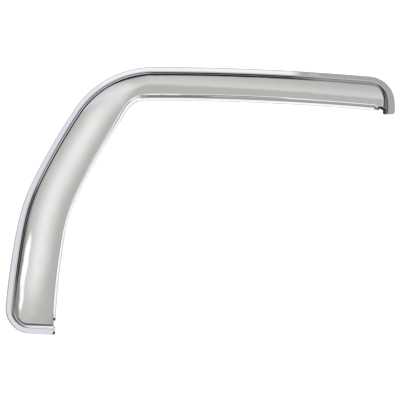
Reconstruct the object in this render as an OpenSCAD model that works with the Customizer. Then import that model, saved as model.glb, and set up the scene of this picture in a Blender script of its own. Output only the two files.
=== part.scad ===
// Window rain deflector for the front door of a car, stuck over the window frame.
// Units are millimetres. X runs along the car (rear end at +X), Z is up,
// the shiny outer face looks toward -Y and the sticky side toward +Y.
// The origin is in the middle of the sticky strip of the top run, on the back of the flange.

/* [Top run] */
// Length of the top run along its outer edge
top_len = 434; // [380:2:520]
// Radius of the slight crown of the top run
crown_r = 5000; // [3500:100:9000]
// Width of the shell over the top run, outer edge to free edge
band_top = 68.5; // [60:0.5:76]

/* [Front leg] */
// Radius of the corner between the top run and the leg
knee_r = 190; // [170:2:230]
// Angle turned by that corner
knee_turn = 56; // [48:1:62]
// Length of the upper leg
upper_leg_len = 162; // [130:2:200]
// Angle turned by the upper leg
upper_leg_turn = 6.7; // [3:0.1:9]
// Length of the bend in the middle of the leg
bend_len = 100; // [80:2:130]
// Angle turned by the bend
bend_turn = 14.9; // [10:0.1:18]
// Length of the lower leg
lower_leg_len = 168; // [150:1:195]
// Angle turned by the lower leg
lower_leg_turn = 5.7; // [3:0.1:8]
// Width of the shell at the upper end of the leg
band_upper = 93; // [86:0.5:98]
// Width of the shell halfway down the leg
band_mid = 98; // [94:0.5:100]
// Width of the shell at the lower end of the leg
band_low = 105.5; // [102:0.5:110]
// Radius of the free edge inside the front corner
free_knee_r = 44; // [30:1:56]

/* [Ends] */
// Radius of the corner at the lower front end
front_corner_r = 50; // [46:1:56]
// Angle turned by that corner
front_corner_turn = 93.5; // [90:0.5:96]
// Length of the straight end run behind the front corner
front_end_len = 52; // [46:1:53]
// Radius of the corner at the rear end
rear_corner_r = 54; // [48:1:58]
// Angle turned by that corner
rear_corner_turn = 84; // [80:0.5:86]
// Length of the straight end run under the rear corner
rear_end_len = 23; // [18:1:28]
// Amount the rear cut climbs toward the free edge
rear_cut_rise = 8; // [7:0.5:11]
// Radius of the rounded outer corners of the flange ends
flange_end_r = 6; // [3:0.5:8]

/* [Flange and riser] */
// Flange width on the top run and the upper end of the leg
flange_top = 8; // [7.5:0.5:10]
// Flange width at the lower end of the leg and on the two end runs
flange_end = 11.5; // [10:0.5:13]
// Radius of the fillet at the foot of the riser
foot_r = 5; // [3.5:0.5:6]
// Radius of the shoulder of the riser on the top run and the upper end of the leg
shoulder_top_r = 6; // [4.5:0.25:7]
// Radius of that shoulder at the lower end of the leg and on the two end runs
shoulder_end_r = 9.5; // [7:0.5:10]
// Steepness of the riser
riser_angle = 75; // [70:1:78]

/* [Shade] */
// Wall thickness
wall = 2.5; // [2:0.1:3]
// Height of the shade line over the flange edge on the top run
side_top = 7.5; // [7:0.5:10]
// Height of the shade line over the flange edge on the leg
side_leg = 10; // [9:0.5:11]
// Height of the free edge on the top run
stand_top = 28; // [24:0.5:34]
// Height of the free edge on the leg
stand_leg = 30; // [26:0.5:36]
// How early the shade levels out, larger is earlier
shade_power = 1.7; // [1.4:0.1:2.2]
// Radius of the rolled free edge on the top run
lip_top_r = 12.5; // [9:0.5:14]
// Radius of the rolled free edge on the leg
lip_leg_r = 6.5; // [5:0.5:9]
// Radius of the rolled free edge where it stops at the rear end
lip_rear_r = 4; // [3.5:0.25:4.5]
// Radius of the rolled free edge where it stops at the front end
lip_front_r = 4; // [3.5:0.25:4.5]
// Angle through which the free edge is rolled
lip_turn = 78; // [60:1:85]
// Rounding of the outer edge of the flange
edge_r = 1.2; // [0.8:0.1:1.8]

/* [Bow] */
// Radius of the bow that follows the side of the car
bow_r = 2300; // [1800:50:4000]
// Distance below the origin at which the bow starts
bow_start = 36; // [34:1:60]

/* [Tape] */
// Thickness of the foam tape
tape_t = 1.1; // [0.8:0.1:1.6]
// Width of the tape on the top run and the upper end of the leg
tape_top_w = 7; // [5:0.5:7]
// Width of the tape at the lower end of the leg and on the two end runs
tape_end_w = 9; // [7:0.5:9.5]
// Distance from the outer edge of the flange to the tape
tape_inset = 0.8; // [0.4:0.1:1.2]
// Gap between one tape and the next
tape_gap = 12; // [6:1:20]
// Thickness of the release liner
liner_t = 0.3; // [0.2:0.1:0.5]
// Reach of the pull tab of each liner past the tape
tab_reach = 14; // [10:1:20]
// Width of the pull tab
tab_w = 16; // [12:1:20]
// Bevel of the corners of the pull tab
tab_bevel = 2; // [1:0.5:4]

/* [Hidden] */
rad = PI / 180;
half_top = top_len / 2;
half_crown = half_top / crown_r / rad;
knee_len = knee_r * knee_turn * rad;
front_corner_len = front_corner_r * front_corner_turn * rad;
rear_corner_len = rear_corner_r * rear_corner_turn * rad;
// Middle of the top run on its outer edge: x, z and heading toward the rear
mid = [0, tape_inset + tape_top_w / 2, -half_crown];
// Runs of the outer edge, each a length and the angle it turns
front_runs = [[half_top, half_crown], [knee_len, knee_turn], [upper_leg_len, upper_leg_turn],
              [bend_len, bend_turn], [lower_leg_len, lower_leg_turn],
              [front_corner_len, front_corner_turn], [front_end_len, 0]];
rear_runs = [[half_top, -half_crown], [rear_corner_len, -rear_corner_turn], [rear_end_len, 0]];
// The same runs without the end corners, which the free edge follows
front_plain = [for (i = [0:4]) front_runs[i]];
rear_plain = [rear_runs[0]];
// Stations along the outer edge, negative toward the front
knee_a = half_top;
knee_b = knee_a + knee_len;
bend_b = knee_b + upper_leg_len + bend_len;
front_c = bend_b + lower_leg_len;
front_b = front_c + front_corner_len;
front_z = front_b + front_end_len;
rear_c = half_top;
rear_b = rear_c + rear_corner_len;
rear_z = rear_b + rear_end_len;
// Ends of the tapes along the outer edge, and the shortest run between two rows of a strip
end_gap = 0.4;
short_run = 1;
top_a = -(knee_a + knee_b) / 2;
top_b = rear_c - end_gap;
leg_a = -front_c;
leg_b = top_a - tape_gap;
front_tape_a = -front_z + end_gap;
front_tape_b = leg_a - tape_gap;
rear_tape_a = top_b + tape_gap;
rear_tape_b = rear_z - end_gap;
// Length over which the rows of the shade fan out before each end corner
fan_front = 90;
fan_rear = 60;
// Pace of the rows along the free edge where the fan ends
fan_pace = 0.6;
// Length by which the free edge runs on past the start of each end corner
over_front = 9;
over_rear = 20;
// Length before an end over which the rolled edge begins to die out
lip_fade = 10;
// Pace of the free edge of the leg for one step of its outer edge
leg_pace = 0.9;

function mix(a, b, k) = a + (b - a) * k;
function unit(v) = v / norm(v);
function clamp(v) = min(1, max(0, v));
function ease(a, b, v) = let (u = clamp((v - a) / (b - a))) u * u * (3 - 2 * u);

// Pose after following an arc of a given length and turn from pose p
function step(p, len, turn) =
    let (f = abs(turn) < 0.0001 ? len : 2 * len / (turn * rad) * sin(turn / 2),
         a = p[2] + turn / 2)
    [p[0] + f * cos(a), p[1] + f * sin(a), p[2] + turn];
function walk(runs, d, p, i = 0) =
    d <= runs[i][0] || i == len(runs) - 1
        ? step(p, d, runs[i][1] * d / runs[i][0])
        : walk(runs, d - runs[i][0], step(p, runs[i][0], runs[i][1]), i + 1);
// Pose on the outer edge: x, z and the heading of the inward normal
function pose(s, rear, front) =
    s >= 0 ? let (p = walk(rear, s, mid)) [p[0], p[1], p[2] - 90]
           : let (p = walk(front, -s, [mid[0], mid[1], mid[2] + 180])) [p[0], p[1], p[2] + 90];
function outer(s) = pose(s, rear_runs, front_runs);
function plain(s) = pose(s, rear_plain, front_plain);
function normal(p) = [cos(p[2]), sin(p[2])];
function along(p, d, k = 0) = [p[0] + d * cos(p[2]) - k * sin(p[2]), p[1] + d * sin(p[2]) + k * cos(p[2])];

// Values that change along the edge
function leg_part(s) = ease(knee_a, knee_b, -s);
function end_part(s) = s > 0 ? ease(rear_c, rear_b, s) : ease(knee_b, front_c, -s);
function leg_x(s) = (-s - knee_b) / (front_c - knee_b);
function band(s) = -s <= knee_a ? band_top : let (x = leg_x(s))
    band_upper * (1 - x) * (1 - 2 * x) + 4 * band_mid * x * (1 - x) + band_low * x * (2 * x - 1);
function band_slope(s) = -s <= knee_a ? 0 : let (x = leg_x(s))
    (band_upper * (4 * x - 3) + 4 * band_mid * (1 - 2 * x) + band_low * (4 * x - 1)) / (front_c - knee_b);
function flange(s) = mix(flange_top, flange_end, end_part(s));
function shoulder_r(s) = mix(shoulder_top_r, shoulder_end_r, end_part(s));
function corner_of(s) = s > rear_c ? rear_c : s < -front_c ? -front_c : s;
function reach(s) = -s > knee_a && -s < knee_b
    ? let (f = free_edge(s)) norm([f[0], f[1]] - along(outer(s), flange(s)))
    : let (c = corner_of(s)) band(c) - flange(c);
function stand(s) = mix(stand_top, stand_leg, leg_part(s));
function side(s) = mix(side_top, side_leg, leg_part(s));
function lip_r(s) = s > 0 ? mix(lip_top_r, lip_rear_r, ease(rear_b - lip_fade, rear_z, s))
    : mix(mix(lip_top_r, lip_leg_r, leg_part(s)), lip_front_r, ease(front_b - lip_fade, front_z, -s));
// Height of the shade and its slope at a part t of the way to the free edge
function shade_h(s, t) = stand(s) - (stand(s) - side(s)) * pow(1 - clamp(t), shade_power);
function shade_k(s, t) = shade_power * (stand(s) - side(s)) / reach(s) * pow(1 - clamp(t), shade_power - 1);
function cut_shift(s) = s > 0 ? -rear_cut_rise * ease(rear_b, rear_z, s) : 0;
// Part of the way to the free edge reached by the riser at a station
function riser_t(s, r) = let (c = corner_of(s), o = outer(c), q = along(outer(s), flange(s) + r))
    ((q - [o[0], o[1]]) * normal(o) - flange(c)) / reach(s);
function row_slope(s, t) = atan(shade_k(s, t) * (normal(outer(s)) * normal(outer(corner_of(s)))));
function flank(s, t) = let (a = row_slope(s, t))
    (shade_h(s, t) - wall - foot_r * (1 - cos(riser_angle))
        - shoulder_r(s) * (cos(a) - cos(riser_angle))) / sin(riser_angle);
// Width of the riser in plan, found in a few rounds from a first guess r
function riser_run(s, r = 9, rounds = 6) = rounds == 0 ? r : let (t = riser_t(s, r), a = row_slope(s, t))
    riser_run(s, foot_r * sin(riser_angle) + flank(s, t) * cos(riser_angle)
                 + shoulder_r(s) * (sin(riser_angle) - sin(a)), rounds - 1);
// Station of the free edge that a station of the outer edge is joined to
function fan(x, span, len) = let (k = (span / len - fan_pace) / (1 - fan_pace))
    len * ((1 - fan_pace) * (1 - pow(1 - x, k)) + fan_pace * x);
function partner(s) =
    s > rear_c - fan_rear
        ? let (a = rear_c - fan_rear, n = rear_z - a) a + fan((s - a) / n, n, fan_rear + over_rear)
    : -s > front_c - fan_front
        ? let (a = front_c - fan_front, n = front_z - a) -a - fan((-s - a) / n, n, fan_front + over_front)
    : s;

// Pose of the free edge: straight, rounded corner and straight inside the front corner
function free_edge(s) = -s > knee_a && -s < knee_b ? knee_free((-s - knee_a) / knee_len)
    : let (p = partner(s), f = plain(p), m = along(f, band(p)))
      [m[0], m[1], f[2] + free_turn(p)];
function free_turn(s) = atan(band_slope(s) / leg_pace);
function knee_free(k) =
    let (p = plain(-knee_a), q = plain(-knee_b), h = p[2] - 90, turn = knee_turn + free_turn(-knee_b),
         a = along(p, band_top), b = along(q, band_upper),
         u = [cos(h), sin(h)], v = [cos(h + turn), sin(h + turn)],
         t = free_knee_r * tan(turn / 2),
         la = cross(b - a, v) / cross(u, v) - t, lb = cross(u, b - a) / cross(u, v) - t,
         arc = free_knee_r * turn * rad,
         m = walk([[la, 0], [arc, turn], [lb, 0]], k * (la + arc + lb), [a[0], a[1], h]))
    [m[0], m[1], m[2] + 90];

// Number of points across each part of a row
edge_n = 4;
foot_n = 3;
shoulder_n = 3;
shade_n = 9;
lip_n = 5;
// Point of the outer surface: plan x, plan z, height, and the outward direction at slope v
// in the plan direction n
function point(m, h, v, n) = [m[0], m[1], h, -sin(v) * n[0], -sin(v) * n[1], cos(v)];
// One row of the outer surface, from the outer edge to the end of the rolled free edge
function row(s) =
    let (p = outer(s), n = normal(p), w = flange(s), r = riser_run(s), t = riser_t(s, r),
         a = row_slope(s, t), sh = cut_shift(s),
         e = max(0, abs(s) - (s > 0 ? rear_z : front_z) + flange_end_r),
         cut = flange_end_r - sqrt(max(0, flange_end_r * flange_end_r - e * e)),
         c2 = foot_r * sin(riser_angle) + flank(s, t) * cos(riser_angle),
         g2 = wall + foot_r * (1 - cos(riser_angle)) + flank(s, t) * sin(riser_angle),
         f = free_edge(s), fn = normal(f), lr = lip_r(s),
         b1 = atan(shade_k(s, 1 - lr / reach(s))),
         lip_w = lr * (sin(b1) + sin(lip_turn)),
         g = along(f, -lip_w), tg = 1 - lip_w / reach(s), q = along(p, w + r, sh),
         cn = normal(outer(corner_of(s))))
    concat(
        [for (v = [0, 45, 90])
            point(along(p, cut + edge_r * (1 - cos(v))), wall - edge_r * (1 - sin(v)), 0, n)],
        [point(along(p, w), wall, 0, n)],
        [for (i = [1:foot_n]) let (v = riser_angle * i / foot_n, d = foot_r * sin(v))
            point(along(p, w + d, sh * d / r), wall + foot_r * (1 - cos(v)), v, n)],
        [for (i = [0:shoulder_n]) let (v = mix(riser_angle, a, i / shoulder_n),
                                       d = c2 + shoulder_r(s) * (sin(riser_angle) - sin(v)))
            point(along(p, w + d, sh * d / r), g2 + shoulder_r(s) * (cos(v) - cos(riser_angle)), v, n)],
        [for (i = [1:shade_n]) let (k = i / shade_n, u = mix(t, tg, k))
            point(q + (g - q) * k, shade_h(s, u), atan(shade_k(s, u)), unit(mix(cn, fn, k)))],
        [for (i = [1:lip_n]) let (v = mix(b1, -lip_turn, i / lip_n))
            point(g + fn * lr * (sin(b1) - sin(v)), shade_h(s, tg) + lr * (cos(v) - cos(b1)), v, fn)]);

// Stations of the rows, closer together round the corners
function spread(a, b, n) = [for (i = [0:n - 1]) mix(a, b, i / n)];
stations = concat(
    spread(-front_z, -front_z + flange_end_r, 4), spread(-front_z + flange_end_r, -front_b, 3),
    spread(-front_b, -front_c, 12), spread(-front_c, -bend_b, 10), spread(-bend_b, -knee_b, 14),
    spread(-knee_b, -knee_a, 18), spread(-knee_a, rear_c, 22), spread(rear_c, rear_b, 12),
    spread(rear_b, rear_z - flange_end_r, 2), spread(rear_z - flange_end_r, rear_z, 4), [rear_z]);

// Bow toward the car: a point given as plan x, plan z and height over the back of the flange
function bow(p) =
    let (d = max(0, -bow_start - p[1]), a = asin(d / bow_r), h = p[2] + tape_t + liner_t)
    [p[0], bow_r * (1 - cos(a)) - h * cos(a), p[1] - h * sin(a)];

// Row of the inner surface: the back of the flange, then one wall below the outer surface
function inner_row(r) = [for (j = [0:len(r) - 1]) let (p = r[j])
    j < edge_n ? [p[0], p[1], 0] : [p[0] - wall * p[3], p[1] - wall * p[4], p[2] - wall * p[5]]];
// Two triangles of a four-sided face
function quad(a, b, c, d) = [[a, b, c], [a, c, d]];

// Closed body between a front sheet and a back sheet of points
module skin(front, back) {
    m = len(front);
    c = len(front[0]);
    o = m * c;
    polyhedron([for (side = [front, back]) each [for (r = side) each [for (p = r) bow(p)]]],
        concat(
            [for (i = [0:m - 2], j = [0:c - 2]) each let (k = i * c + j)
                quad(k, k + c, k + c + 1, k + 1)],
            [for (i = [0:m - 2], j = [0:c - 2]) each let (k = o + i * c + j)
                quad(k, k + 1, k + c + 1, k + c)],
            [for (i = [0:m - 2]) each let (k = i * c) quad(k + c, k, o + k, o + k + c)],
            [for (i = [0:m - 2]) each let (k = i * c + c - 1) quad(k, k + c, o + k + c, o + k)],
            [for (j = [0:c - 2]) each quad(j, j + 1, o + j + 1, o + j)],
            [for (j = [0:c - 2]) each let (k = (m - 1) * c + j) quad(k + 1, k, o + k, o + k + 1)]),
        convexity = 10);
}

// Edges of a strip stuck behind the flange between two stations, with a pull tab at its last end
function tape_w(s) = mix(tape_top_w, tape_end_w, end_part(s));
function strip_edges(a, b, tab) =
    let (c = tab > 0 ? b - tab_w : b,
         body = concat([a], [for (s = stations) if (s > a + short_run && s < c - short_run) s], [c]),
         ends = tab > 0 ? [[c + tab_bevel, tab], [b - tab_bevel, tab], [b, tab - tab_bevel]] : [])
    concat([for (s = body) edge_pair(s, 0)], [for (e = ends) edge_pair(e[0], e[1])]);
function edge_pair(s, tab) = let (p = outer(s))
    [along(p, tape_inset), along(p, tape_inset + tape_w(s) + tab)];
module bent_strip(a, b, low, high, tab = 0) {
    rows = strip_edges(a, b, tab);
    skin([for (r = rows) [for (q = r) [q[0], q[1], high]]],
         [for (r = rows) [for (q = r) [q[0], q[1], low]]]);
}
module flat_strip(y, t, tab = 0) {
    rows = strip_edges(top_a, top_b, tab);
    m = len(rows) - 1;
    translate([0, y, 0]) rotate([90, 0, 0]) linear_extrude(t)
        polygon(concat([for (r = rows) r[0]], [for (i = [0:m]) rows[m - i][1]]));
}

// Chrome-plated moulded shell: flange, riser, shade and rolled free edge
module visor_shell() {
    rows = [for (s = stations) row(s)];
    color([0.82, 0.83, 0.85]) skin(rows, [for (r = rows) inner_row(r)]);
}

// Foam tapes on the back of the flange
module tape_top() {
    color([0.06, 0.06, 0.07]) flat_strip(-liner_t, tape_t);
}
module tape_leg() {
    color([0.06, 0.06, 0.07]) bent_strip(leg_a, leg_b, -tape_t, 0);
}
module tape_front_end() {
    color([0.06, 0.06, 0.07]) bent_strip(front_tape_a, front_tape_b, -tape_t, 0);
}
module tape_rear_end() {
    color([0.06, 0.06, 0.07]) bent_strip(rear_tape_a, rear_tape_b, -tape_t, 0);
}

// Release liners on the back of the tapes
module liner_top() {
    color([0.72, 0.07, 0.09]) flat_strip(0, liner_t, tab_reach);
}
module liner_leg() {
    color([0.72, 0.07, 0.09]) bent_strip(leg_a, leg_b, -tape_t - liner_t, -tape_t, tab_reach);
}
module liner_front_end() {
    color([0.72, 0.07, 0.09])
        bent_strip(front_tape_a, front_tape_b, -tape_t - liner_t, -tape_t, tab_reach);
}
module liner_rear_end() {
    color([0.72, 0.07, 0.09])
        bent_strip(rear_tape_a, rear_tape_b, -tape_t - liner_t, -tape_t, tab_reach);
}

visor_shell();
tape_top();
tape_leg();
tape_front_end();
tape_rear_end();
liner_top();
liner_leg();
liner_front_end();
liner_rear_end();
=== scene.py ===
import math

import bpy
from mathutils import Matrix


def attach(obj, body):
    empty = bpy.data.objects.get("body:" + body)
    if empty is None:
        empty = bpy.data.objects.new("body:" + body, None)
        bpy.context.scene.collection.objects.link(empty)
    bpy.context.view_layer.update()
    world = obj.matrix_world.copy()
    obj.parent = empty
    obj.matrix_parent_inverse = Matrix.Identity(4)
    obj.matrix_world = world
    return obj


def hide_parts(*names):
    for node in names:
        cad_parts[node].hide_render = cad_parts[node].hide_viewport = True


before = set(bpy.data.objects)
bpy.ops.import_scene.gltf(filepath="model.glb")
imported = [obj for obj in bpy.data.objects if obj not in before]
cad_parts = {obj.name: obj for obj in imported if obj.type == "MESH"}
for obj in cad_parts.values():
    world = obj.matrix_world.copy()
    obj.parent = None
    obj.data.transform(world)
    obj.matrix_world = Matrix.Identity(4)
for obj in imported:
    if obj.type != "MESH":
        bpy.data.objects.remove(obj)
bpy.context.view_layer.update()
mm = 0.001


def isVector(value):
    return isinstance(value, tuple) or isinstance(value, Wire) and value.socket.type == "VECTOR"


class Wire:
    # One output socket; arithmetic on it adds Math or Vector Math nodes. A vector constant is a tuple
    def __init__(self, graph, socket):
        self.graph = graph
        self.socket = socket

    def math(self, operation, *others):
        return self.graph.math(operation, self, *others)

    def __add__(self, other):
        return self.math("ADD", other)

    def __sub__(self, other):
        return self.math("SUBTRACT", other)

    def __rsub__(self, other):
        return self.graph.math("SUBTRACT", other, self)

    def __mul__(self, other):
        return self.math("MULTIPLY", other)

    def __truediv__(self, other):
        return self.math("DIVIDE", other)

    def __rtruediv__(self, other):
        return self.graph.math("DIVIDE", other, self)

    def __pow__(self, other):
        return self.math("POWER", other)

    def __neg__(self):
        return self * -1.0

    __radd__ = __add__
    __rmul__ = __mul__

    def clamped(self):
        return self.graph.add("ShaderNodeClamp", {}, {"Value": self})

    def part(self, axis):
        return self.graph.add("ShaderNodeSeparateXYZ", {}, {0: self}, "XYZ".index(axis))

    def step(self, low, high):
        # 0 below low, 1 above high, smooth between
        return self.graph.add("ShaderNodeMapRange", {"interpolation_type": "SMOOTHSTEP"},
                              {"Value": self, "From Min": low, "From Max": high})


class Graph:
    # A node tree that is filled by expressions
    def __init__(self, tree):
        self.tree = tree

    def node(self, kind, settings=None, inputs=None):
        made = self.tree.nodes.new(kind)
        for name, value in (settings or {}).items():
            if name == "stops":
                ramp = made.color_ramp
                while len(ramp.elements) > 1:
                    ramp.elements.remove(ramp.elements[-1])
                for i, (place, colour) in enumerate(value):
                    stop = ramp.elements[0] if i == 0 else ramp.elements.new(place)
                    stop.position = place
                    stop.color = colour
            else:
                setattr(made, name, value)
        for name, value in (inputs or {}).items():
            if isinstance(value, Wire):
                self.tree.links.new(value.socket, made.inputs[name])
            elif made.inputs[name].type == "VECTOR" and not isinstance(value, tuple):
                made.inputs[name].default_value = (value, value, value)
            else:
                made.inputs[name].default_value = value
        return made

    def add(self, kind, settings=None, inputs=None, output=0):
        return Wire(self, self.node(kind, settings, inputs).outputs[output])

    def math(self, operation, *values):
        kind = "ShaderNodeVectorMath" if any(isVector(v) for v in values) else "ShaderNodeMath"
        return self.add(kind, {"operation": operation}, dict(enumerate(values)))

    def mixed(self, factor, first, second):
        # Two colours, blended by a factor
        node = self.node("ShaderNodeMix", {"data_type": "RGBA"}, {0: factor, 6: first, 7: second})
        return Wire(self, node.outputs[2])


def mixNumbers(a, b, k):
    return a + (b - a) * k


def ease(low, high, value):
    u = min(1.0, max(0.0, (value - low) / (high - low)))
    return u * u * (3 - 2 * u)


# Sizes of the moulded shell, in millimetres and degrees, the same as in the part's source
shellSizes = {
    "topLength": 434, "crownRadius": 5000, "bandTop": 68.5,
    "kneeRadius": 190, "kneeTurn": 56, "upperLegLength": 162, "upperLegTurn": 6.7,
    "bendLength": 100, "bendTurn": 14.9, "lowerLegLength": 168, "lowerLegTurn": 5.7,
    "bandUpper": 93, "bandMiddle": 98, "bandLower": 105.5, "freeKneeRadius": 44, "legPace": 0.9,
    "frontCornerRadius": 50, "frontCornerTurn": 93.5, "frontEndLength": 52,
    "rearCornerRadius": 54, "rearCornerTurn": 84, "rearEndLength": 23, "rearCutRise": 8,
    "flangeEndRadius": 6, "flangeTop": 8, "flangeEnd": 11.5,
    "footRadius": 5, "shoulderTop": 6, "shoulderEnd": 9.5, "riserAngle": 75, "edgeRadius": 1.2,
    "wall": 2.5, "sideTop": 7.5, "sideLeg": 10, "standTop": 28, "standLeg": 30, "shadePower": 1.7,
    "lipTop": 12.5, "lipLeg": 6.5, "lipEnd": 4, "lipTurn": 78, "lipFade": 10,
    "bowRadius": 2300, "bowStart": 36, "tape": 1.1, "liner": 0.3, "tapeInset": 0.8, "tapeTopWidth": 7,
    "fanFront": 90, "fanRear": 60, "fanPace": 0.6, "overFront": 9, "overRear": 20,
    "endRounding": 0.5,
}


class VisorOutline:
    # The outer edge and the free edge in plan, as chains of arcs, and the section's sizes at each station
    def __init__(self, sizes):
        self.__dict__.update(sizes)
        self.half = self.topLength / 2
        crown = math.degrees(self.half / self.crownRadius)
        self.kneeLength = self.kneeRadius * math.radians(self.kneeTurn)
        frontCorner = self.frontCornerRadius * math.radians(self.frontCornerTurn)
        rearCorner = self.rearCornerRadius * math.radians(self.rearCornerTurn)
        self.middle = (0, self.tapeInset + self.tapeTopWidth / 2, -crown)
        self.frontRuns = [(self.half, crown), (self.kneeLength, self.kneeTurn),
                          (self.upperLegLength, self.upperLegTurn), (self.bendLength, self.bendTurn),
                          (self.lowerLegLength, self.lowerLegTurn), (frontCorner, self.frontCornerTurn),
                          (self.frontEndLength, 0)]
        self.rearRuns = [(self.half, -crown), (rearCorner, -self.rearCornerTurn), (self.rearEndLength, 0)]
        self.kneeStart = self.half
        self.kneeEnd = self.half + self.kneeLength
        self.bendEnd = self.kneeEnd + self.upperLegLength + self.bendLength
        self.frontStart = self.bendEnd + self.lowerLegLength
        self.frontTurned = self.frontStart + frontCorner
        self.frontTip = self.frontTurned + self.frontEndLength
        self.rearStart = self.half
        self.rearTurned = self.rearStart + rearCorner
        self.rearTip = self.rearTurned + self.rearEndLength

    def follow(self, pose, length, turn):
        half = math.radians(turn / 2)
        chord = length if abs(turn) < 1e-4 else length * math.sin(half) / half
        heading = math.radians(pose[2] + turn / 2)
        return (pose[0] + chord * math.cos(heading), pose[1] + chord * math.sin(heading), pose[2] + turn)

    def walk(self, runs, distance, pose):
        for index, (length, turn) in enumerate(runs):
            if distance <= length or index == len(runs) - 1:
                return self.follow(pose, distance, turn * distance / length)
            pose = self.follow(pose, length, turn)
            distance -= length

    def poseAt(self, station, rearRuns, frontRuns):
        # x, z and the heading of the inward normal
        if station >= 0:
            x, z, heading = self.walk(rearRuns, station, self.middle)
            return (x, z, heading - 90)
        start = (self.middle[0], self.middle[1], self.middle[2] + 180)
        x, z, heading = self.walk(frontRuns, -station, start)
        return (x, z, heading + 90)

    def outer(self, station):
        return self.poseAt(station, self.rearRuns, self.frontRuns)

    def plain(self, station):
        return self.poseAt(station, self.rearRuns[:1], self.frontRuns[:5])

    def inward(self, pose):
        return (math.cos(math.radians(pose[2])), math.sin(math.radians(pose[2])))

    def along(self, pose, distance):
        x, z = self.inward(pose)
        return (pose[0] + distance * x, pose[1] + distance * z)

    def legShare(self, station):
        return ease(self.kneeStart, self.kneeEnd, -station)

    def band(self, station):
        if -station <= self.kneeStart:
            return self.bandTop
        x = (-station - self.kneeEnd) / (self.frontStart - self.kneeEnd)
        return (self.bandUpper * (1 - x) * (1 - 2 * x) + 4 * self.bandMiddle * x * (1 - x)
                + self.bandLower * x * (2 * x - 1))

    def bandTurn(self, station):
        if -station <= self.kneeStart:
            return 0.0
        x = (-station - self.kneeEnd) / (self.frontStart - self.kneeEnd)
        slope = (self.bandUpper * (4 * x - 3) + 4 * self.bandMiddle * (1 - 2 * x)
                 + self.bandLower * (4 * x - 1)) / (self.frontStart - self.kneeEnd)
        return math.degrees(math.atan(slope / self.legPace))

    def endShare(self, station):
        if station > 0:
            return ease(self.rearStart, self.rearTurned, station)
        return ease(self.kneeEnd, self.frontStart, -station)

    def flange(self, station):
        return mixNumbers(self.flangeTop, self.flangeEnd, self.endShare(station))

    def cornerStation(self, station):
        return min(self.rearStart, max(-self.frontStart, station))

    def fan(self, share, span, length):
        power = (span / length - self.fanPace) / (1 - self.fanPace)
        return length * ((1 - self.fanPace) * (1 - (1 - share) ** power) + self.fanPace * share)

    def partner(self, station):
        # Station of the free edge that belongs to a station of the outer edge
        if station > self.rearStart - self.fanRear:
            start = self.rearStart - self.fanRear
            span = self.rearTip - start
            return start + self.fan((station - start) / span, span, self.fanRear + self.overRear)
        if -station > self.frontStart - self.fanFront:
            start = self.frontStart - self.fanFront
            span = self.frontTip - start
            return -start - self.fan((-station - start) / span, span, self.fanFront + self.overFront)
        return station

    def freeEdge(self, station):
        if self.kneeStart < -station < self.kneeEnd:
            return self.freeKnee((-station - self.kneeStart) / self.kneeLength)
        partner = self.partner(station)
        pose = self.plain(partner)
        x, z = self.along(pose, self.band(partner))
        return (x, z, pose[2] + self.bandTurn(partner))

    def freeKnee(self, share):
        # Straight, rounded corner and straight, inside the front corner
        first = self.plain(-self.kneeStart)
        last = self.plain(-self.kneeEnd)
        heading = first[2] - 90
        turn = self.kneeTurn + self.bandTurn(-self.kneeEnd)
        a = self.along(first, self.bandTop)
        b = self.along(last, self.bandUpper)
        u = (math.cos(math.radians(heading)), math.sin(math.radians(heading)))
        v = (math.cos(math.radians(heading + turn)), math.sin(math.radians(heading + turn)))
        cut = self.freeKneeRadius * math.tan(math.radians(turn / 2))
        gap = (b[0] - a[0], b[1] - a[1])
        cross = u[0] * v[1] - u[1] * v[0]
        before = (gap[0] * v[1] - gap[1] * v[0]) / cross - cut
        after = (u[0] * gap[1] - u[1] * gap[0]) / cross - cut
        arc = self.freeKneeRadius * math.radians(turn)
        pose = self.walk([(before, 0), (arc, turn), (after, 0)], share * (before + arc + after),
                         (a[0], a[1], heading))
        return (pose[0], pose[1], pose[2] + 90)

    def reach(self, station):
        if self.kneeStart < -station < self.kneeEnd:
            free = self.freeEdge(station)
            foot = self.along(self.outer(station), self.flange(station))
            return math.hypot(free[0] - foot[0], free[1] - foot[1])
        corner = self.cornerStation(station)
        return self.band(corner) - self.flange(corner)

    def lipRadius(self, station):
        if station > 0:
            return mixNumbers(self.lipTop, self.lipEnd, ease(self.rearTurned - self.lipFade, self.rearTip, station))
        radius = mixNumbers(self.lipTop, self.lipLeg, self.legShare(station))
        return mixNumbers(radius, self.lipEnd, ease(self.frontTurned - self.lipFade, self.frontTip, -station))

    def section(self, station):
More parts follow.
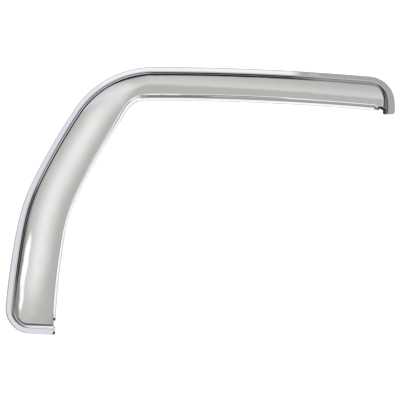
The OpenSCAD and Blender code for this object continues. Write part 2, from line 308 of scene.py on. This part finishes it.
        # Every size that the section needs at this station
        outer = self.outer(station)
        corner = self.outer(self.cornerStation(station))
        inward = self.inward(outer)
        cornerInward = self.inward(corner)
        flange = self.flange(station)
        cornerFlange = self.flange(self.cornerStation(station))
        reach = self.reach(station)
        stand = mixNumbers(self.standTop, self.standLeg, self.legShare(station))
        side = mixNumbers(self.sideTop, self.sideLeg, self.legShare(station))
        shoulder = mixNumbers(self.shoulderTop, self.shoulderEnd, self.endShare(station))
        rise = math.radians(self.riserAngle)
        facing = inward[0] * cornerInward[0] + inward[1] * cornerInward[1]
        width = 9.0
        for _ in range(16):
            point = self.along(outer, flange + width)
            part = ((point[0] - corner[0]) * cornerInward[0] + (point[1] - corner[1]) * cornerInward[1]
                    - cornerFlange) / reach
            left = 1 - min(1.0, max(0.0, part))
            height = stand - (stand - side) * left ** self.shadePower
            slope = math.atan(self.shadePower * (stand - side) / reach
                              * left ** (self.shadePower - 1) * facing)
            flank = (height - self.wall - self.footRadius * (1 - math.cos(rise))
                     - shoulder * (math.cos(slope) - math.cos(rise))) / math.sin(rise)
            kept = width
            width = (self.footRadius * math.sin(rise) + flank * math.cos(rise)
                     + shoulder * (math.sin(rise) - math.sin(slope)))
        free = self.freeEdge(station)
        freeInward = self.inward(free)
        tip = self.rearTip if station > 0 else self.frontTip
        over = max(0.0, abs(station) - tip + self.flangeEndRadius)
        cut = self.flangeEndRadius - math.sqrt(max(0.0, self.flangeEndRadius ** 2 - over ** 2))
        shift = -self.rearCutRise * ease(self.rearTurned, self.rearTip, station) if station > 0 else 0.0
        return {
            "outer": (outer[0] * mm, 0, outer[1] * mm), "inward": (inward[0], 0, inward[1]),
            "cornerInward": (cornerInward[0], 0, cornerInward[1]),
            "freeEdge": (free[0] * mm, 0, free[1] * mm), "freeInward": (freeInward[0], 0, freeInward[1]),
            "flange": flange * mm, "reach": reach * mm, "stand": stand * mm, "side": side * mm,
            "flank": flank * mm, "shoulderRadius": shoulder * mm,
            "riserWidth": kept * mm, "riserShare": part, "shadeSlope": slope,
            "lipRadius": self.lipRadius(station) * mm, "flangeCut": cut * mm, "cutShift": shift * mm,
        }

    def stations(self, finer):
        # Rows along the part, closer together round the corners and at the rounded ends
        marks = [-self.frontTip, -self.frontTip + self.flangeEndRadius, -self.frontTurned, -self.frontStart,
                 -self.bendEnd, -self.kneeEnd, -self.kneeStart, self.rearStart, self.rearTurned,
                 self.rearTip - self.flangeEndRadius, self.rearTip]
        counts = [6, 3, 12, 10, 14, 18, 22, 12, 2, 6]
        rows = []
        for low, high, count in zip(marks[:-1], marks[1:], counts):
            steps = count * finer
            rows += [mixNumbers(low, high, i / steps) for i in range(steps)]
        low, high = -self.frontTip + self.endRounding, self.rearTip - self.endRounding
        rows = [(s, 0.0) for s in rows if low < s < high]
        bend = [math.pi / 2 * i / 5 for i in range(6)]
        ends = [(self.endRounding * (1 - math.sin(t)), self.endRounding * (1 - math.cos(t))) for t in bend]
        front = [(-self.frontTip + back, inset) for back, inset in reversed(ends)]
        rear = [(self.rearTip - back, inset) for back, inset in ends]
        cap = self.wall / 2
        return [(-self.frontTip, cap)] + front + rows + rear + [(self.rearTip, cap)]


def guideMesh(outline, finer):
    # One vertex for each row, with the section's sizes as attributes
    rows = outline.stations(finer)
    sections = [outline.section(station) for station, inset in rows]
    mesh = bpy.data.meshes.new("visorGuide")
    mesh.from_pydata([s["outer"] for s in sections], [], [])
    insets = mesh.attributes.new("inset", "FLOAT", "POINT")
    insets.data.foreach_set("value", [inset * mm for station, inset in rows])
    for name, first in sections[0].items():
        if isinstance(first, tuple):
            found = mesh.attributes.new(name, "FLOAT_VECTOR", "POINT")
            found.data.foreach_set("vector", [v for s in sections for v in s[name]])
        else:
            found = mesh.attributes.new(name, "FLOAT", "POINT")
            found.data.foreach_set("value", [s[name] for s in sections])
    guide = bpy.data.objects.new("chromeShell", mesh)
    bpy.context.scene.collection.objects.link(guide)
    return guide


sectionFaces = {"across": 8, "shadeParts": 3, "lipParts": 2}  # faces across each part of the section


def sectionTree(sizes, faces, material):
    # Sweeps the visor's section over the guide's rows; each part of the section is one grid
    tree = bpy.data.node_groups.new("visorSection", "GeometryNodeTree")
    face = tree.interface
    face.new_socket("Geometry", in_out="INPUT", socket_type="NodeSocketGeometry")
    lengths = {"Wall": sizes["wall"], "Foot Radius": sizes["footRadius"], "Edge Radius": sizes["edgeRadius"],
               "Bow Radius": sizes["bowRadius"], "Bow Start": sizes["bowStart"],
               "Back Gap": sizes["tape"] + sizes["liner"]}
    values = {name: length * mm for name, length in lengths.items()}
    values["Riser Angle"] = math.radians(sizes["riserAngle"])
    values["Lip Turn"] = math.radians(sizes["lipTurn"])
    values["Shade Power"] = sizes["shadePower"]
    for name, value in values.items():
        face.new_socket(name, in_out="INPUT", socket_type="NodeSocketFloat").default_value = value
    face.new_socket("Faces Across", in_out="INPUT", socket_type="NodeSocketInt").default_value = faces["across"]
    face.new_socket("Material", in_out="INPUT", socket_type="NodeSocketMaterial").default_value = material
    face.new_socket("Geometry", in_out="OUTPUT", socket_type="NodeSocketGeometry")
    graph = Graph(tree)
    given = {socket.name: Wire(graph, socket) for socket in tree.nodes.new("NodeGroupInput").outputs if socket.name}
    guide, wall, rise, power = (given[name] for name in ("Geometry", "Wall", "Riser Angle", "Shade Power"))
    up = (0.0, 1.0, 0.0)
    rows = graph.add("GeometryNodeAttributeDomainSize", {"component": "MESH"}, {"Geometry": guide}, "Point Count")
    columns = given["Faces Across"] + 1.0
    number = graph.add("GeometryNodeInputIndex")
    row = (number / columns).math("FLOOR")
    k = (number - row * columns) / given["Faces Across"]  # 0 to 1 across each part

    def read(name, kind="FLOAT"):
        value = graph.add("GeometryNodeInputNamedAttribute", {"data_type": kind}, {"Name": name})
        return graph.add("GeometryNodeSampleIndex", {"data_type": kind, "domain": "POINT"},
                         {"Geometry": guide, "Value": value, "Index": row})

    flange, reach, stand, side, flank = (read(name) for name in ("flange", "reach", "stand", "side", "flank"))
    shoulderRadius = read("shoulderRadius")
    riserWidth, shadeSlope, lipRadius = read("riserWidth"), read("shadeSlope"), read("lipRadius")
    riserShare, flangeCut, cutShift, inset = read("riserShare"), read("flangeCut"), read("cutShift"), read("inset")
    outer, inward = read("outer", "FLOAT_VECTOR"), read("inward", "FLOAT_VECTOR")
    freeEdge, freeInward = read("freeEdge", "FLOAT_VECTOR"), read("freeInward", "FLOAT_VECTOR")
    cornerInward = read("cornerInward", "FLOAT_VECTOR")
    beside = inward.math("CROSS_PRODUCT", up)
    riseSine, riseCosine = rise.math("SINE"), rise.math("COSINE")
    footWidth = given["Foot Radius"] * riseSine
    footHeight = wall + given["Foot Radius"] * (1.0 - riseCosine)

    grid = graph.add("GeometryNodeMeshGrid", {}, {"Vertices X": rows, "Vertices Y": columns})
    sunk = inset.math("MINIMUM", wall / 2.0)
    innerSunk = wall - sunk

    def sheet(place):
        # In plan: y is the height over the flange's back
        return graph.add("GeometryNodeSetPosition", {}, {"Geometry": grid, "Position": place})

    def outwardAt(facing, slope):
        return slope.math("COSINE") * up - facing * slope.math("SINE")

    def walls(place, height, outward):
        # The outer sheet and the inner sheet one wall behind it; both close on the middle at the two ends
        skin = place + height * up
        return sheet(skin - sunk * outward), sheet(skin - innerSunk * outward)

    def inFrom(distance):
        # A place on the flange or riser, a distance in from the outer edge
        return outer + inward * distance

    def onRiser(distance, height, slope):
        return walls(inFrom(distance) + (distance - flange) / riserWidth * cutShift * beside, height,
                     outwardAt(inward, slope))

    # Rounded edge and flat of the flange, whose back is flat
    turn = k * (math.pi / 2)
    edgeHeight = wall - given["Edge Radius"] * (1.0 - turn.math("SINE"))
    edgeSunk = inset.math("MINIMUM", edgeHeight / 2.0)
    edgePlace = inFrom(flangeCut + given["Edge Radius"] * (1.0 - turn.math("COSINE")))
    rimHeight = wall - given["Edge Radius"]
    rimSunk = inset.math("MINIMUM", rimHeight / 2.0)
    rim = sheet(inFrom(flangeCut) + (rimSunk + (rimHeight - rimSunk * 2.0) * k) * up)
    front = [rim, sheet(edgePlace + (edgeHeight - edgeSunk) * up)]
    back = [sheet(edgePlace + edgeSunk * up)]
    flatStart = flangeCut + given["Edge Radius"]
    flat = walls(inFrom(flatStart + (flange - flatStart) * k), wall, up)

    # Riser: fillet at its foot, straight flank and shoulder
    slope = rise * k
    foot = onRiser(flange + given["Foot Radius"] * slope.math("SINE"),
                   wall + given["Foot Radius"] * (1.0 - slope.math("COSINE")), slope)
    straight = onRiser(flange + footWidth + flank * k * riseCosine, footHeight + flank * k * riseSine, rise)
    slope = rise + (shadeSlope - rise) * k
    shoulder = onRiser(
        flange + footWidth + flank * riseCosine + shoulderRadius * (riseSine - slope.math("SINE")),
        footHeight + flank * riseSine + shoulderRadius * (slope.math("COSINE") - riseCosine), slope)

    # Shade: levels out toward the free edge
    drop = stand - side
    steepness = drop / reach * power

    def shadeSlopeAt(share):
        return (steepness * (1.0 - share).clamped() ** (power - 1.0)).math("ARCTANGENT")

    def shadeHeightAt(share):
        return stand - drop * (1.0 - share).clamped() ** power

    lipSlope = shadeSlopeAt(1.0 - lipRadius / reach)
    lipWidth = lipRadius * (lipSlope.math("SINE") + given["Lip Turn"].math("SINE"))
    lipShare = 1.0 - lipWidth / reach
    lipFoot = freeEdge - freeInward * lipWidth
    shadeFoot = inFrom(flange + riserWidth) + cutShift * beside
    shoulderOutward = outwardAt(inward, shadeSlope)
    shade = []
    for index in range(faces["shadeParts"]):
        part = (k + index) / faces["shadeParts"]
        share = riserShare + (lipShare - riserShare) * part
        facing = (cornerInward + (freeInward - cornerInward) * part).math("NORMALIZE")
        outward = outwardAt(facing, shadeSlopeAt(share))
        outward = shoulderOutward + (outward - shoulderOutward) * part.step(0.0, 0.12)
        shade.append(walls(shadeFoot + (lipFoot - shadeFoot) * part, shadeHeightAt(share), outward))

    # Rolled free edge, with a round nose
    lipHeight = shadeHeightAt(lipShare)
    lipEnd = wall / 2.0 / lipRadius - given["Lip Turn"]

    def lipAt(slope):
        place = lipFoot + freeInward * (lipRadius * (lipSlope.math("SINE") - slope.math("SINE")))
        return place, lipHeight + lipRadius * (slope.math("COSINE") - lipSlope.math("COSINE"))

    shadeEndSlope = shadeSlopeAt(lipShare)
    lip = []
    for index in range(faces["lipParts"]):
        part = (k + index) / faces["lipParts"]
        place, height = lipAt(lipSlope + (lipEnd - lipSlope) * part)
        lip.append(walls(place, height, outwardAt(freeInward, shadeEndSlope + (lipEnd - shadeEndSlope) * part)))
    place, height = lipAt(lipEnd)
    outward = freeInward * -lipEnd.math("SINE") + lipEnd.math("COSINE") * up
    ahead = freeInward * lipEnd.math("COSINE") + lipEnd.math("SINE") * up
    noseRadius = wall / 2.0 - sunk
    bend = k * math.pi
    nose = place + height * up - wall / 2.0 * outward
    nose = nose + (bend.math("COSINE") * outward + bend.math("SINE") * ahead) * noseRadius
    front.append(sheet(nose))
    for outside, inside in [flat, foot, straight, shoulder] + shade + lip:
        front.append(outside)
        back.append(inside)

    def joined(parts):
        node = tree.nodes.new("GeometryNodeJoinGeometry")
        for part in parts:
            tree.links.new(part.socket, node.inputs[0])
        return Wire(graph, node.outputs[0])

    # Laying the plan round the bow mirrors it, so the front sheets are the ones that are turned round
    flipped = graph.add("GeometryNodeFlipFaces", {}, {"Mesh": joined(front)})
    whole = graph.add("GeometryNodeMergeByDistance", {}, {"Geometry": joined([flipped] + back), "Distance": 5e-6})

    # Lays the plan round the bow toward the car
    place = graph.add("GeometryNodeInputPosition")
    below = (place.part("Z") * -1.0 - given["Bow Start"]).math("MAXIMUM", 0.0)
    angle = (below / given["Bow Radius"]).math("ARCSINE")
    high = place.part("Y") + given["Back Gap"]
    y = (1.0 - angle.math("COSINE")) * given["Bow Radius"] - high * angle.math("COSINE")
    z = place.part("Z") - high * angle.math("SINE")
    bowed = graph.add("ShaderNodeCombineXYZ", {}, {0: place.part("X"), 1: y, 2: z})
    whole = graph.add("GeometryNodeSetPosition", {}, {"Geometry": whole, "Position": bowed})

    smooth = graph.add("GeometryNodeSetShadeSmooth", {"domain": "FACE"}, {0: whole, "Shade Smooth": True})
    bend = graph.add("GeometryNodeInputMeshEdgeAngle", output="Unsigned Angle")
    sharp = graph.add("FunctionNodeCompare", {"operation": "GREATER_THAN"}, {0: bend, 1: math.radians(50)})
    creased = graph.add("GeometryNodeSetShadeSmooth", {"domain": "EDGE"},
                        {0: smooth, "Selection": sharp, "Shade Smooth": False})
    placed = graph.add("GeometryNodeRealizeInstances", {}, {0: creased})
    coated = graph.add("GeometryNodeSetMaterial", {}, {0: placed, "Material": given["Material"]})
    tree.links.new(coated.socket, tree.nodes.new("NodeGroupOutput").inputs[0])
    print("section:", len(tree.nodes), "nodes")
    return tree


def plainMesh(piece, tree):
    # Runs the tree on the piece and keeps its result as an ordinary mesh
    modifier = piece.modifiers.new("shape", "NODES")
    modifier.node_group = tree
    for item in tree.interface.items_tree:
        if item.item_type == "SOCKET" and item.in_out == "INPUT" and item.name != "Geometry":
            modifier[item.identifier] = item.default_value
    bpy.context.view_layer.update()
    evaluated = piece.evaluated_get(bpy.context.evaluated_depsgraph_get())
    result = bpy.data.meshes.new_from_object(evaluated)
    piece.modifiers.remove(modifier)
    piece.data = result
    result.name = piece.name
    return piece


def newMaterial(name):
    material = bpy.data.materials.new(name)
    material.use_nodes = True
    material.node_tree.nodes.clear()
    return material, Graph(material.node_tree)


def finishMaterial(graph, **sockets):
    inputs = {name.replace("_", " "): value for name, value in sockets.items()}
    shader = graph.add("ShaderNodeBsdfPrincipled", {}, inputs)
    graph.node("ShaderNodeOutputMaterial", {}, {0: shader})


# Painted dark ends: spots at the ends where painted shade and painted dark reflections turn the chrome into a dark
# non-metal colour with a red tinge, each with the x and z of its middle, half its length and width, how far it leans
# and how strongly it is painted
chromeLook = {
    "tint": (0.90, 0.905, 0.915, 1), "haze": (0.80, 0.81, 0.83, 1), "gloss": 0.035, "swell": 0.00025,
    "shadeDark": (0.012, 0.012, 0.014, 1), "shadeRed": (0.045, 0.008, 0.008, 1),
    "paintedDarkEnds": [(0.2380, -0.0790, 0.0125, 0.0060, -0.46, 1.0), (-0.4163, -0.4968, 0.0035, 0.0030, 0.0, 1.0),
                 (-0.4216, -0.5281, 0.0044, 0.0024, 0.95, 1.0), (-0.4190, -0.4965, 0.0150, 0.0024, 1.57, 0.5)],
}


def chromeMaterial(look):
    material, graph = newMaterial("brightChrome")
    place = graph.add("ShaderNodeTexCoord", output="Object")
    cloud = graph.add("ShaderNodeTexNoise", {}, {"Vector": place, "Scale": 14.0, "Detail": 3.0})
    fine = graph.add("ShaderNodeTexNoise", {}, {"Vector": place, "Scale": 900.0, "Detail": 2.0})
    haze = cloud.step(0.52, 0.78) * 0.35
    colour = graph.mixed(haze, look["tint"], look["haze"])
    rough = haze * 0.06 + fine * 0.01 + look["gloss"]
    paintedShade = None
    # Painted shade: dark spots at the ends stand in for shade and dark reflections, so the chrome turns dark and
    # non-metal there
    for x, z, halfLength, halfWidth, lean, share in look["paintedDarkEnds"]:
        across, up = place.part("X") - x, place.part("Z") - z
        along = (across * math.cos(lean) + up * math.sin(lean)) / halfLength
        beside = (up * math.cos(lean) - across * math.sin(lean)) / halfWidth
        spot = (1.0 - (along * along + beside * beside).step(0.7, 1.2)) * share
        paintedShade = paintedShade.math("MAXIMUM", spot) if paintedShade else spot
    paintedShadeColour = graph.mixed(cloud.step(0.4, 0.6), look["shadeDark"], look["shadeRed"])
    colour = graph.mixed(paintedShade, colour, paintedShadeColour)
    # The moulding isn't quite even, so what it mirrors wavers a little
    swell = graph.add("ShaderNodeTexNoise", {}, {"Vector": place, "Scale": 24.0, "Detail": 1.0})
    uneven = graph.add("ShaderNodeBump", {}, {"Strength": 1.0, "Distance": look["swell"], "Height": swell})
    finishMaterial(graph, Base_Color=colour, Metallic=1.0 - paintedShade, Roughness=rough + paintedShade * 0.25, Normal=uneven)
    return material


foamLook = {"colour": (0.018, 0.018, 0.02, 1), "cell": (0.045, 0.045, 0.05, 1)}


def foamMaterial(look):
    material, graph = newMaterial("foamTape")
    place = graph.add("ShaderNodeTexCoord", output="Object")
    cells = graph.add("ShaderNodeTexVoronoi", {}, {"Vector": place, "Scale": 2600.0})
    mottle = graph.add("ShaderNodeTexNoise", {}, {"Vector": place, "Scale": 700.0, "Detail": 4.0})
    colour = graph.mixed(cells.step(0.2, 0.7) * 0.6 + mottle * 0.3, look["colour"], look["cell"])
    bump = graph.add("ShaderNodeBump", {}, {"Strength": 0.5, "Distance": 0.0002, "Height": cells + mottle})
    finishMaterial(graph, Base_Color=colour, Roughness=0.85 + mottle * 0.1, Normal=bump)
    return material


linerLook = {"colour": (0.34, 0.010, 0.016, 1), "deep": (0.22, 0.005, 0.010, 1)}


def linerMaterial(look):
    material, graph = newMaterial("redLiner")
    place = graph.add("ShaderNodeTexCoord", output="Object")
    ripple = graph.add("ShaderNodeTexNoise", {}, {"Vector": place, "Scale": 60.0, "Detail": 3.0})
    grain = graph.add("ShaderNodeTexNoise", {}, {"Vector": place, "Scale": 1500.0, "Detail": 2.0})
    colour = graph.mixed(ripple.step(0.3, 0.7), look["colour"], look["deep"])
    bump = graph.add("ShaderNodeBump", {}, {"Strength": 0.25, "Distance": 0.0005, "Height": ripple + grain * 0.1})
    finishMaterial(graph, Base_Color=colour, Roughness=0.22 + ripple * 0.15, Normal=bump)
    return material


# The photograph's camera: level, square on to the part, 2.4 m in front of the flange
cameraPlace = {"x": -0.1235, "y": -2.4014, "z": -0.2567, "span": 0.8, "distance": 2.4}


def addCamera(place):
    camera = bpy.data.objects.new("photoCamera", bpy.data.cameras.new("photoCamera"))
    bpy.context.scene.collection.objects.link(camera)
    camera.location = (place["x"], place["y"], place["z"])
    camera.rotation_euler = (math.radians(90), 0, 0)
    camera.data.sensor_fit = "HORIZONTAL"
    camera.data.sensor_width = 36
    camera.data.lens = 36 * place["distance"] / place["span"]
    camera.data.clip_end = 60
    bpy.context.scene.camera = camera


# What the chrome mirrors: grey walls, soft lamps and cards round a camera that looks along +Y. Places are in
# degrees: bearing to the right and height up from the camera's side, away from its direction
studioLook = {
    "grey": (0.500, 0.506, 0.474), "ceiling": (0.69, 0.69, 0.675), "strip": (0.90, 0.90, 0.88),
    "side": (0.28, 0.28, 0.27), "dark": (0.010, 0.012, 0.032), "rear": (0.30, 0.30, 0.30), "back": (0.26, 0.27, 0.29), "behind": (0.42, 0.42, 0.50),
    "cardLeft": (0.79, 0.785, 0.84), "cardRight": (0.98, 0.98, 1.0), "cardShade": (0.42, 0.42, 0.40),
    "cardEdge": (0.16, 0.16, 0.15), "foot": (0.12, 0.12, 0.13), "under": (0.38, 0.38, 0.41),
    "white": (1.05, 1.05, 1.05), "twice": (0.66, 0.66, 0.76), "right": (0.64, 0.64, 0.64), "lamp": (1.25, 1.25, 1.25),
    "stripBearing": -32.5, "stripLean": 0.17, "stripLeft": 13, "stripRight": 17,
    "ceilingHeight": 46.5, "ceilingSlope": 0.6, "room": 1.3,
}


def addWorld(look):
    world = bpy.data.worlds.new("studio")
    world.use_nodes = True
    world.node_tree.nodes.clear()
    bpy.context.scene.world = world
    graph = Graph(world.node_tree)
    ray = graph.add("ShaderNodeTexCoord", output="Generated").math("NORMALIZE")
    x, y, z = ray.part("X"), ray.part("Y"), ray.part("Z")
    degrees = 180 / math.pi
    bearing = x.math("ARCTAN2", -y) * degrees
    height = z.math("ARCSINE") * degrees
    away = (-y).math("ARCCOSINE") * degrees
    lean = x.math("ARCTAN2", z) * degrees  # 0 up, -90 left, 90 right
    colour = look["grey"] + (1,)

    def between(value, low, high, blur):
        return value.step(low - blur, low + blur) * (1.0 - value.step(high - blur, high + blur))

    def bell(value, middle, width):
        far = (value - middle) / width
        return (far * far * -1.0).math("EXPONENT")

    def paint(mask, name):
        nonlocal colour
        colour = graph.mixed(mask, colour, look[name] + (1,))

    # Ceiling, with a lower edge that is highest in the middle, and the tall soft lamp at the left
    ceilingEdge = look["ceilingHeight"] - (bearing + 4.0).math("ABSOLUTE") * look["ceilingSlope"]
    paint((height - ceilingEdge).step(-3, 3), "ceiling")
    paint((height - ceilingEdge).step(1, 22) * 0.85, "grey")
    fromStrip = bearing - height.math("MAXIMUM", -20.0) * look["stripLean"] - look["stripBearing"]
    strip = fromStrip.step(-look["stripLeft"], 0) * (1.0 - fromStrip.step(0, look["stripRight"]))
    paint(strip * height.step(-27, -15) * (1.0 - height.step(12, 30) * 0.25 - height.step(42, 56) * 0.75), "strip")
    # Walls at the sides, dark above, behind and far round
    left = 1.0 - x.step(-0.2, 0.0)
    paint((1.0 - bearing.step(-47.5, -44.5)) * (1.0 - height.step(48, 56)), "side")
    darkStart = 60.0 - (-lean).step(10, 60) * 10.3 + (-lean).step(60, 72) * 19.3 - lean.step(40, 70) * 17.0
    paint((away - darkStart).step(-1.2, 1.2) * height.step(-11, -6), "dark")
    paint((away - darkStart).step(-1.2, 1.2) * lean.step(55, 75) * 0.8, "cardEdge")
    paint(away.step(124, 134) * height.step(4, 12), "behind")
    paint(x.step(0.12, 0.16) * away.step(58, 64) * (1.0 - x.step(0.5, 0.65)), "rear")
    # Below and at the right
    paint((1.0 - height.step(-31, -26)) * away.step(20, 26) * left, "foot")
    right = between(lean, 99, 175, 5)
    paint(right * away.step(6, 12), "cardEdge")
    paint(right * away.step(24, 32), "white")
    paint(right * away.step(78, 92), "right")
    paint(right * away.step(94, 124), "back")
    paint((1.0 - height.step(-22, -16)) * between(x, -0.2, 0.2, 0.08), "under")
    paint((1.0 - height.step(-72, -62)) + (1.0 - height.step(-22, -12)) * away.step(95, 105), "white")
    paint(away.step(112, 138) * (1.0 - height.step(-15, 5)), "back")
    paint(away.step(120, 135) * bell(height, -40, 7), "right")
    # Small lamp low at the left, and the card behind the camera
    lampLeft = (height * 0.55 - 38.8).math("MAXIMUM", -45.2)
    lampRight = (height + 12.0).math("MINIMUM", 0.0) * 0.2 - (height + 10.0).math("MAXIMUM", 0.0) * 0.5 - 41.8
    paint(between(bearing, lampLeft, lampRight, 0.8) * between(height, -21, -6, 1.2), "lamp")
    card = between(bearing, -11.5, 16.0, 0.5) * between(height, -40, 12, 1.5)
    paint(card * (1.0 - bearing.step(-6, -3) * (1.0 - height.step(-20, -12))), "cardLeft")
    paint(card * bearing.step(-7, -3.5) * height.step(-20, -12), "cardRight")
    paint(card * bearing.step(4.2, 5.4) * (height + (bearing - 5.0) * 1.4).step(1, 3), "cardShade")
    paint(between(bearing, -7.2, -0.5, 0.5) * (1.0 - height.step(-14, -11)) * (1.0 - away.step(36, 46)), "cardEdge")
    paint(between(bearing, -1.0, 3.5, 0.8) * between(height, -12, 2.0, 1.0), "cardEdge")
    # The steep riser mirrors the pale flange at its foot, so what is mirrored twice comes back light
    bounces = graph.add("ShaderNodeLightPath", output="Ray Depth")
    paint(bounces.step(2.4, 2.6) * height.step(12, 20) * between(bearing, -110, -22, 8), "twice")
    # Only the mirrored room has lamps and cards: the camera and the floor get plain white light
    mirrored = graph.add("ShaderNodeLightPath", output="Is Glossy Ray")
    colour = graph.mixed(mirrored, (1, 1, 1, 1), colour)
    strength = mirrored * (1.0 - look["room"]) + look["room"]
    shine = graph.add("ShaderNodeBackground", {}, {"Color": colour, "Strength": strength})
    graph.node("ShaderNodeOutputWorld", {}, {0: shine})
    print("studio:", len(world.node_tree.nodes), "nodes")


def addFloor(height):
    mesh = bpy.data.meshes.new("floor")
    size = 30
    mesh.from_pydata([(-size, -size, height), (size, -size, height), (size, size, height), (-size, size, height)],
                     [], [(0, 1, 2, 3)])
    floor = bpy.data.objects.new("floor", mesh)
    bpy.context.scene.collection.objects.link(floor)
    material, graph = newMaterial("paleFloor")
    finishMaterial(graph, Base_Color=(0.9, 0.9, 0.9, 1), Roughness=0.8)
    mesh.materials.append(material)
    floor.visible_glossy = False
    return floor


addCamera(cameraPlace)
addWorld(studioLook)
addFloor(-1.1)
print("stage is set")

outline = VisorOutline(shellSizes)
chrome = chromeMaterial(chromeLook)
shell = guideMesh(outline, 4)
shell = plainMesh(shell, sectionTree(shellSizes, sectionFaces, chrome))
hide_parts("visor_shell")
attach(shell, "root")
print("shell:", len(shell.data.vertices), "points,", len(shell.data.polygons), "faces")

foam = foamMaterial(foamLook)
film = linerMaterial(linerLook)
for name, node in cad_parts.items():
    if name.startswith("tape_"):
        node.data.materials.clear()
        node.data.materials.append(foam)
    if name.startswith("liner_"):
        node.data.materials.clear()
        node.data.materials.append(film)
print("tapes and liners are coated")

bpy.context.scene.view_settings.view_transform = "Standard"
